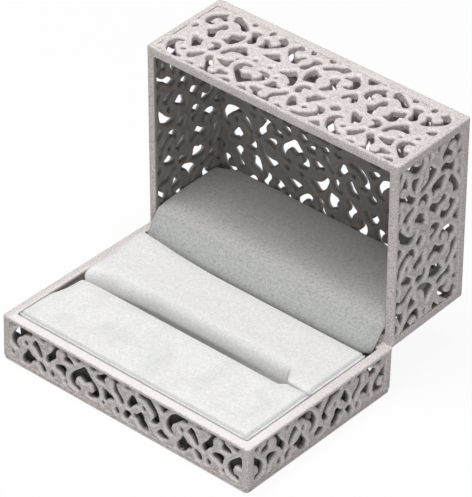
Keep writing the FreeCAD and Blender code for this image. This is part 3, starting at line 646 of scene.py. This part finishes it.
def dressed_pad(name, block, edges_of, pull, *stands_for):
    """Swollen pad, with the lip and the fold along the edges that edges_of measures from and its
    top pulled about by pull."""
    form = swell(block, pad_voxel, pad_swell)
    bmesh.ops.subdivide_edges(form, edges=form.edges, cuts=1, use_grid_fill=True)
    soften(form, 2)
    shares = []
    for vert in form.verts:
        x, y, z = vert.co / MM
        on_top = smooth_step(z, pad_top - 2.0, pad_top - 0.8)
        fold = on_top * max(fold_line(distance) for distance in edges_of(x, y))
        in_slot = pad_front + 2 < y < rear_high.y - 3 and abs(x) < pad_side - side_skin
        # Painted shade in the fold and low in the slot.
        shares.append(fold_shade * fold / fold_depth + slot_painted_shade(x, z) * in_slot)
        raised = on_top * max(lip(distance) for distance in edges_of(x, y))
        vert.co += (pull(x, y, z) + Vector((0, 0, raised - fold))) * MM
    piece = finished(name, form, pad_velvet, "base")
    paint_pile_shade(piece, shares)
    painted_shade_sides(piece, velvet_foot, -pad_side + side_skin, pad_side - side_skin, pad_front + side_skin,
               rear_skin_y)
    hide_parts(*stands_for)


def prism(bm, corners, direction):
    """Closed solid swept from a flat outline, in millimetres."""
    outline = bm.faces.new([bm.verts.new(Vector(corner) * MM) for corner in corners])
    swept = bmesh.ops.extrude_face_region(bm, geom=[outline])
    far = [item for item in swept["geom"] if isinstance(item, bmesh.types.BMVert)]
    bmesh.ops.translate(bm, vec=Vector(direction) * MM, verts=far)
    bmesh.ops.recalc_face_normals(bm, faces=bm.faces)


def front_pull(x, y, z):
    """The left end is pulled in and down towards the slot, and the right end meets the rear pad."""
    lift = smooth_step(z, pad_low.z + 4, pad_top - 1)
    at_left = smooth_step(-x, 32, 39)
    edge = 0.5 * smooth_step(-x, 37.5, 39.5) * (1 - smooth_step(y, -15, -9))
    sag = 0.8 * smooth_step(y, -14, -3) * smooth_step(-x, 34, 39.5)
    back = 1.6 * smooth_step(x, 29.8, 32) * smooth_step(y, -8, -3)
    side = (0.35 * smooth_step(y, -17, -3.5) * at_left
            - 0.4 * smooth_step(-x, 38, 39.6) * (1 - smooth_step(y, -14, -8)))
    return Vector((side, back, edge - sag)) * lift


def rear_pull(x, y, z):
    """The slot closes towards its left end, and the pad's rear left corner stands up."""
    forward = 1.3 * smooth_step(-x, 16, 31) + 3.8 * smooth_step(-x, 30, 40.5)
    rise = 0.7 * smooth_step(-x, 24, 39) + 1.4 * smooth_step(y, 0, 21) * smooth_step(-x, 10, 39)
    return Vector((0, -forward * (1 - smooth_step(y, 4.5, 12)), rise * smooth_step(z, 8, pad_top - 1)))


front_rear_edge = -1.9
front_block = bmesh.new()
bar(front_block, (-pad_side + pad_grow, pad_front + pad_grow, pad_low.z + pad_grow),
    (pad_side - pad_grow, front_rear_edge - pad_grow, pad_top - pad_grow))
rounded_edges(front_block, edge_round)
dressed_pad("front_pad", front_block, lambda x, y: (y - pad_front, pad_side - x), front_pull,
            "front_pad_cover", "front_foam")

# The rear pad's front face slopes into the slot, and at the right end it comes forward to close it.
slot_rear, slot_bottom = rear_low.y, 6.8
rear_foot, rear_top, lean_z = 21.0, 22.7, 8.4
rear_low_z, rear_high_z = rear_low.z + pad_grow, pad_top - pad_grow
rear_profile = [(slot_rear + pad_grow, rear_low_z), (rear_foot - pad_grow, rear_low_z),
                (rear_foot - pad_grow, lean_z), (rear_top - pad_grow, rear_high_z),
                (slot_rear + 2.9, rear_high_z), (slot_rear + 1.8, pad_top - 0.7),
                (slot_rear + 1.0, pad_top - 1.9), (slot_rear + 0.3, pad_top - 4.0),
                (slot_rear, slot_bottom)]
pad_length = 2 * (pad_side - pad_grow)
rear_block = bmesh.new()
prism(rear_block, [(-pad_length / 2, y, z) for y, z in rear_profile], (pad_length, 0, 0))
rounded_edges(rear_block, edge_round * 0.6)
tongue = bmesh.new()
tongue_left, tongue_rear = 27.6, 9.0
tongue_front = front_rear_edge + 1.6
tongue_outline = [(tongue_left, 5.2), (31.1, tongue_front), (pad_length / 2, tongue_front),
                  (pad_length / 2, tongue_rear), (tongue_left, tongue_rear)]
tongue_height = pad_top - pad_grow - slot_bottom + 1
prism(tongue, [(x, y, slot_bottom - 1) for x, y in tongue_outline], (0, 0, tongue_height))
rounded_edges(tongue, edge_round * 0.4)
tongue_mesh = bpy.data.meshes.new("tongue")
tongue.to_mesh(tongue_mesh)
tongue.free()
rear_block.from_mesh(tongue_mesh)
dressed_pad("rear_pad", rear_block, lambda x, y: (pad_side - x,), rear_pull,
            "rear_pad_cover", "rear_foam", "slot_gusset_right")


# ---------------------------------------------------------------- slot lining
# The slot's velvet floor on its foam strip, folded up at the left end. The upright block of foam at
# the left wall only keeps light from showing through the openings there: the solids don't have it,
# and it runs into the front pad.
strip_foot = 1.9
folded_up_z = 11.0
filler_front, filler_top = -13.0, 13.9
slot_block = bmesh.new()
bar(slot_block, (-pad_side + 0.2, pad_high.y - 1.0, strip_foot),
    (pad_side - 0.3, slot_rear + 1.0, slot_bottom))
bar(slot_block, (-pad_side + 1.8, front_rear_edge, strip_foot),
    (-pad_side + 3.2, slot_rear - 1.5, folded_up_z))
bar(slot_block, (-pad_side + 0.05, filler_front, strip_foot), (-pad_side + 1.4, slot_rear, filler_top))
slot_form = even_skin(slot_block, pad_voxel)
soften(slot_form, 4)
slot_lining = finished("slot_lining", slot_form, pad_velvet, "base")
# Painted shade low in the slot.
paint_pile_shade(slot_lining, [slot_painted_shade(vert.co.x / MM, vert.co.z / MM)
                         for vert in slot_lining.data.vertices])
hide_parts("slot_liner", "slot_foam", "slot_gusset_left")
beyond = 50
painted_shade_sides(slot_lining, pad_top, -pad_side + 1.5, pad_side - 0.9, -beyond, beyond)


# ---------------------------------------------------------------- insert card
# A sheet of plain grey board laid in the base, cut to fit between its walls. The foam blocks stand
# on it.
def board(name, deep, pale):
    """Board with fine fibres in two tones."""
    made = Finish(name)
    fibre = made.noise(0.8, 4.0)
    made.feed(made.shader, {
        "Base Color": made.mix(fibre, deep, pale), "Roughness": 0.9, "Normal": made.bump(fibre, 0.03, 0.5)})
    return made.material


grey_board = board("grey_board", (0.16, 0.15, 0.14, 1), (0.24, 0.23, 0.21, 1))
nodes["insert_card"].data.materials.clear()
nodes["insert_card"].data.materials.append(grey_board)


# ---------------------------------------------------------------- liner and flap
# One piece of velvet on card: the liner bows from the crease to the lid's ceiling, and the flap
# below the crease hangs to the rear pad and covers the hinge on the inside.
hem = Vector((0, 23.3, 12.3)) * MM
crease = Vector((0, 28.7, 20.5)) * MM
ceiling = Vector((0, 55.5, 22.0)) * MM
flap_rows, liner_rows = 14, 22
flap_line = interpolate_bezier(hem, hem + Vector((0, 0.4, 2.8)) * MM, crease + Vector((0, -2.5, -2.2)) * MM,
                               crease, flap_rows + 1)
liner_line = interpolate_bezier(crease, crease + Vector((0, 3.6, 1.0)) * MM,
                                ceiling + Vector((0, -12.0, 0.1)) * MM, ceiling, liner_rows + 1)
line = flap_line + liner_line[1:]
columns = 60
liner_half, flap_half = 39.4, 39.1
ripple_height, corner_cut, curl_back, card_thickness = 0.12, 3.0, 1.7, 0.5
sheet = bmesh.new()
bmesh.ops.create_grid(sheet, x_segments=columns, y_segments=len(line) - 1, size=1.0)
for vert in sheet.verts:
    row = round((vert.co.y + 1) / 2 * (len(line) - 1))
    half = flap_half if row < flap_rows - 2 else liner_half
    place = line[row]
    ripple = ripple_height * noise.noise(Vector((vert.co.x * 4, row * 0.12, 0.0)))
    cut = (corner_cut * smooth_step(-vert.co.x, 0.84, 1.0)
           * smooth_step(row, flap_rows + 12, len(line) - 1))
    curl = smooth_step(vert.co.x, 0.92, 1.0) * (1 - smooth_step(row, flap_rows - 3, flap_rows + 4))
    up = 0.2 - 1.1 * smooth_step(row, 0, flap_rows)
    vert.co = Vector((vert.co.x * half, place.y / MM - cut + curl_back * curl,
                      place.z / MM + ripple + up * curl)) * MM
bmesh.ops.recalc_face_normals(sheet, faces=sheet.faces)
lid_liner = finished("lid_liner", sheet, liner_velvet, None)
lid_liner.data.materials.append(board("pale_card_edge", (0.62, 0.61, 0.60, 1), (0.74, 0.73, 0.72, 1)))
thickness = lid_liner.modifiers.new("velvet_on_card", "SOLIDIFY")
thickness.thickness = card_thickness * MM
thickness.offset = -1.0
thickness.material_offset_rim = 1
smoother = lid_liner.modifiers.new("smoother", "SUBSURF")
smoother.levels = smoother.render_levels = 1
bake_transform(lid_liner)
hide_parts("liner_velvet", "flap_velvet", "flap_card", "liner_card")


# ---------------------------------------------------------------- hinge
# Pressed steel leaves riveted to both shells, turning on a pin, with a flat spring that snaps the
# lid open or shut. The flap covers them on the inside. The knuckles and the rivet heads show on the
# outside of the back walls.
def steel(name):
    """Brushed steel, a little uneven in tone and polish."""
    made = Finish(name)
    scratches = made.noise(0.5, 3.0)
    made.feed(made.shader, {
        "Base Color": made.mix(scratches, (0.42, 0.41, 0.40, 1), (0.56, 0.55, 0.54, 1)), "Metallic": 1.0,
        "Roughness": (scratches - 0.5) * 0.3 + 0.38, "Normal": made.bump(scratches, 0.01, 0.3)})
    return made.material


hinge_steel = steel("hinge_steel")
for name in ("base_hinge_leaf", "lid_hinge_leaf", "base_hinge_rivets", "lid_hinge_rivets", "hinge_pin",
             "snap_spring"):
    nodes[name].data.materials.clear()
    nodes[name].data.materials.append(hinge_steel)
